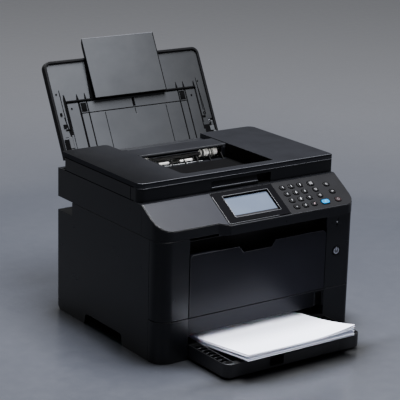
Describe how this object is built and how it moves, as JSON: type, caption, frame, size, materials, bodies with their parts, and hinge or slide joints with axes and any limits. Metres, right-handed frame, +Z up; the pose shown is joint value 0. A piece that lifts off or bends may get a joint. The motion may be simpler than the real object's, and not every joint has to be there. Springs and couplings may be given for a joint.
{
  "type": "fax machine",
  "caption": "Black laser fax machine with a document support behind its lid, a touch screen and keypad on a sloping panel, and a pulled-out paper cassette.",
  "frame": {"origin": "middle of the bounding box's base, on the surface the machine stands on", "axes": "+Z up, +X to the right of a person facing the front, +Y from the front to the back"},
  "size_m": [0.39, 0.5518, 0.4453],
  "materials": {
    "case_black": "fine moulded texture, satin",
    "dark_inner": "matt moulded plastic",
    "lid_charcoal": "fine moulded texture, matt",
    "panel_grey": "smooth satin plate",
    "keypad_charcoal": "fine texture, matt",
    "key_black": "smooth satin",
    "key_blue": "translucent lit key",
    "key_red": "smooth satin",
    "support_grey": "satin moulded plastic",
    "bracket_grey": "satin moulded plastic",
    "steel": "plain sheet",
    "board_green": "lacquered board",
    "roller_rubber": "ground rubber",
    "clear_glass": "polished",
    "display": "smooth, lit from behind",
    "paper": "uncoated copy paper",
    "pad_white": "foam with a smooth skin"
  },
  "bodies": {
    "case": {"base_plate": "steel", "left_side_cover": "case_black", "right_side_cover": "case_black", "rear_cover": "case_black", "left_front_column": "case_black", "right_front_column": "case_black", "left_front_skirt": "case_black", "right_front_skirt": "case_black", "lower_fascia": "case_black", "bay_liner": "dark_inner", "inner_frame": "steel", "laser_unit": "dark_inner", "toner_cartridge": "dark_inner", "fuser_unit": "dark_inner", "main_board": "board_green", "power_supply": "board_green", "ac_inlet": "dark_inner", "line_sockets": "dark_inner", "scanner_housing": "case_black", "scanner_glass": "clear_glass", "panel_cover": "case_black", "panel_left_plate": "panel_grey", "screen_bezel": "case_black", "touch_screen": "display", "keypad_plate": "keypad_charcoal"},
    "power_button": {"power_button": "key_black"},
    "door": {"front_door": "case_black"},
    "cassette": {"cassette": "case_black", "paper_stack": "paper"},
    "guide_left": {"cassette_guide_left": "dark_inner"},
    "guide_right": {"cassette_guide_right": "dark_inner"},
    "pickup_roller": {"pickup_roller": "roller_rubber"},
    "fan": {"cooling_fan": "dark_inner"},
    "carriage": {"scan_carriage": "dark_inner"},
    "lid": {"lid_base": "case_black", "lid_top_cover": "lid_charcoal", "document_pad": "pad_white", "support_bracket": "bracket_grey"},
    "feed_roller": {"feed_roller": "roller_rubber"},
    "support": {"paper_support": "support_grey"},
    "extension": {"support_extension": "support_grey"},
    "key_1": {"key_1": "key_black"},
    "key_2": {"key_2": "key_black"},
    "key_3": {"key_3": "key_black"},
    "key_4": {"key_4": "key_black"},
    "key_5": {"key_5": "key_black"},
    "key_6": {"key_6": "key_black"},
    "key_7": {"key_7": "key_black"},
    "key_8": {"key_8": "key_black"},
    "key_9": {"key_9": "key_black"},
    "key_star": {"key_star": "key_black"},
    "key_0": {"key_0": "key_black"},
    "key_hash": {"key_hash": "key_black"},
    "key_menu": {"key_menu": "key_black"},
    "key_redial": {"key_redial": "key_black"},
    "key_hold": {"key_hold": "key_black"},
    "key_start": {"key_start": "key_blue"},
    "key_copy": {"key_copy": "key_black"},
    "key_clear": {"key_clear": "key_black"},
    "key_stop": {"key_stop": "key_red"}
  },
  "joints": [
    {"name": "door_hinge", "type": "hinge", "parent": "case", "child": "door", "pos_m": [0, -0.1529, 0.0786], "axis": [1, 0, 0], "range_deg": [0, 85]},
    {"name": "cassette_slide", "type": "slide", "parent": "case", "child": "cassette", "axis": [0, -1, 0], "range_m": [-0.095, 0.1]},
    {"name": "guide_right_slide", "type": "slide", "parent": "cassette", "child": "guide_right", "axis": [1, 0, 0], "range_m": [0, 0.005]},
    {"name": "guide_left_slide", "type": "slide", "parent": "cassette", "child": "guide_left", "axis": [1, 0, 0], "range_m": [-0.005, 0]},
    {"name": "pickup_spin", "type": "hinge", "parent": "case", "child": "pickup_roller", "pos_m": [0, -0.1009, 0.066], "axis": [1, 0, 0], "continuous": true},
    {"name": "fan_spin", "type": "hinge", "parent": "case", "child": "fan", "pos_m": [-0.164, 0.1458, 0.13], "axis": [0, 1, 0], "continuous": true},
    {"name": "carriage_slide", "type": "slide", "parent": "case", "child": "carriage", "axis": [1, 0, 0], "range_m": [0, 0.286]},
    {"name": "lid_hinge", "type": "hinge", "parent": "case", "child": "lid", "pos_m": [0, 0.1641, 0.2625], "axis": [-1, 0, 0], "range_deg": [0, 65]},
    {"name": "feed_spin", "type": "hinge", "parent": "lid", "child": "feed_roller", "pos_m": [0, 0.0686, 0.269], "axis": [1, 0, 0], "continuous": true},
    {"name": "support_hinge", "type": "hinge", "parent": "lid", "child": "support", "pos_m": [0, 0.20521, 0.28196], "axis": [1, 0, 0], "range_deg": [0, 95]},
    {"name": "extension_slide", "type": "slide", "parent": "support", "child": "extension", "axis": [0, 0.4587, 0.8886], "range_m": [-0.08, 0]},
    {"name": "power_press", "type": "slide", "parent": "case", "child": "power_button", "axis": [0, 1, 0], "range_m": [0, 0.0015], "stiffness_N_per_m": 300, "springref_m": -0.0005},
    {"name": "key_1_press", "type": "slide", "parent": "case", "child": "key_1", "axis": [0, 0.5293, -0.8484], "range_m": [0, 0.0008], "stiffness_N_per_m": 250, "springref_m": -0.0005},
    {"name": "key_2_press", "type": "slide", "parent": "case", "child": "key_2", "axis": [0, 0.5293, -0.8484], "range_m": [0, 0.0008], "stiffness_N_per_m": 250, "springref_m": -0.0005},
    {"name": "key_3_press", "type": "slide", "parent": "case", "child": "key_3", "axis": [0, 0.5293, -0.8484], "range_m": [0, 0.0008], "stiffness_N_per_m": 250, "springref_m": -0.0005},
    {"name": "key_4_press", "type": "slide", "parent": "case", "child": "key_4", "axis": [0, 0.5293, -0.8484], "range_m": [0, 0.0008], "stiffness_N_per_m": 250, "springref_m": -0.0005},
    {"name": "key_5_press", "type": "slide", "parent": "case", "child": "key_5", "axis": [0, 0.5293, -0.8484], "range_m": [0, 0.0008], "stiffness_N_per_m": 250, "springref_m": -0.0005},
    {"name": "key_6_press", "type": "slide", "parent": "case", "child": "key_6", "axis": [0, 0.5293, -0.8484], "range_m": [0, 0.0008], "stiffness_N_per_m": 250, "springref_m": -0.0005},
    {"name": "key_7_press", "type": "slide", "parent": "case", "child": "key_7", "axis": [0, 0.5293, -0.8484], "range_m": [0, 0.0008], "stiffness_N_per_m": 250, "springref_m": -0.0005},
    {"name": "key_8_press", "type": "slide", "parent": "case", "child": "key_8", "axis": [0, 0.5293, -0.8484], "range_m": [0, 0.0008], "stiffness_N_per_m": 250, "springref_m": -0.0005},
    {"name": "key_9_press", "type": "slide", "parent": "case", "child": "key_9", "axis": [0, 0.5293, -0.8484], "range_m": [0, 0.0008], "stiffness_N_per_m": 250, "springref_m": -0.0005},
    {"name": "key_star_press", "type": "slide", "parent": "case", "child": "key_star", "axis": [0, 0.5293, -0.8484], "range_m": [0, 0.0008], "stiffness_N_per_m": 250, "springref_m": -0.0005},
    {"name": "key_0_press", "type": "slide", "parent": "case", "child": "key_0", "axis": [0, 0.5293, -0.8484], "range_m": [0, 0.0008], "stiffness_N_per_m": 250, "springref_m": -0.0005},
    {"name": "key_hash_press", "type": "slide", "parent": "case", "child": "key_hash", "axis": [0, 0.5293, -0.8484], "range_m": [0, 0.0008], "stiffness_N_per_m": 250, "springref_m": -0.0005},
    {"name": "key_menu_press", "type": "slide", "parent": "case", "child": "key_menu", "axis": [0, 0.5293, -0.8484], "range_m": [0, 0.0008], "stiffness_N_per_m": 250, "springref_m": -0.0005},
    {"name": "key_redial_press", "type": "slide", "parent": "case", "child": "key_redial", "axis": [0, 0.5293, -0.8484], "range_m": [0, 0.0008], "stiffness_N_per_m": 250, "springref_m": -0.0005},
    {"name": "key_hold_press", "type": "slide", "parent": "case", "child": "key_hold", "axis": [0, 0.5293, -0.8484], "range_m": [0, 0.0008], "stiffness_N_per_m": 250, "springref_m": -0.0005},
    {"name": "key_start_press", "type": "slide", "parent": "case", "child": "key_start", "axis": [0, 0.5293, -0.8484], "range_m": [0, 0.0008], "stiffness_N_per_m": 250, "springref_m": -0.0005},
    {"name": "key_copy_press", "type": "slide", "parent": "case", "child": "key_copy", "axis": [0, 0.5293, -0.8484], "range_m": [0, 0.0008], "stiffness_N_per_m": 250, "springref_m": -0.0005},
    {"name": "key_clear_press", "type": "slide", "parent": "case", "child": "key_clear", "axis": [0, 0.5293, -0.8484], "range_m": [0, 0.0008], "stiffness_N_per_m": 250, "springref_m": -0.0005},
    {"name": "key_stop_press", "type": "slide", "parent": "case", "child": "key_stop", "axis": [0, 0.5293, -0.8484], "range_m": [0, 0.0008], "stiffness_N_per_m": 250, "springref_m": -0.0005}
  ],
  "couplings": [
    {"joint": "guide_left_slide", "follows": "guide_right_slide", "ratio": -1}
  ]
}
